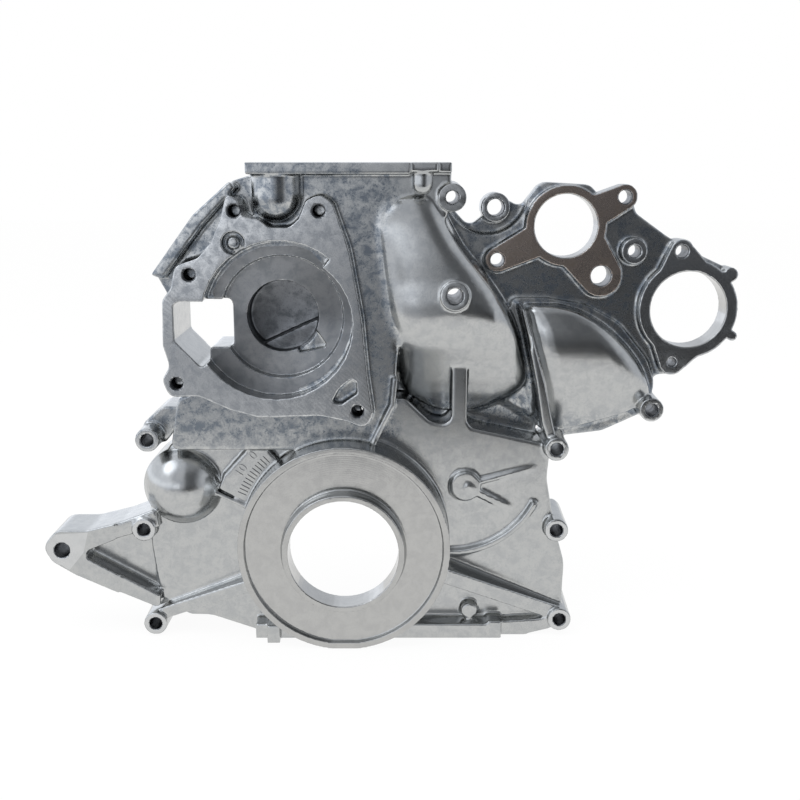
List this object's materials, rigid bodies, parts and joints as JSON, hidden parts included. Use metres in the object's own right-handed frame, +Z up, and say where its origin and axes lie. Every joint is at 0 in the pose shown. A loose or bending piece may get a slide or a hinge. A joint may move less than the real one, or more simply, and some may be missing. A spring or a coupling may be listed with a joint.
{
  "type": "timing cover",
  "caption": "Cast engine front timing cover with a crank seal drum, pump scroll housing, chain bulge, coolant ports and bolt columns, closing the front of an engine block.",
  "frame": {"origin": "crank axis at the rear joint plane that meets the engine block", "axes": "+X to the right seen from the front, +Y along the crank axis into the block, +Z up towards the cylinder head"},
  "size_m": [0.4827, 0.075, 0.33],
  "materials": {
    "casting": "bright die cast skin with machined joint faces"
  },
  "bodies": {
    "root": {"timing_cover": "casting"}
  },
  "joints": []
}
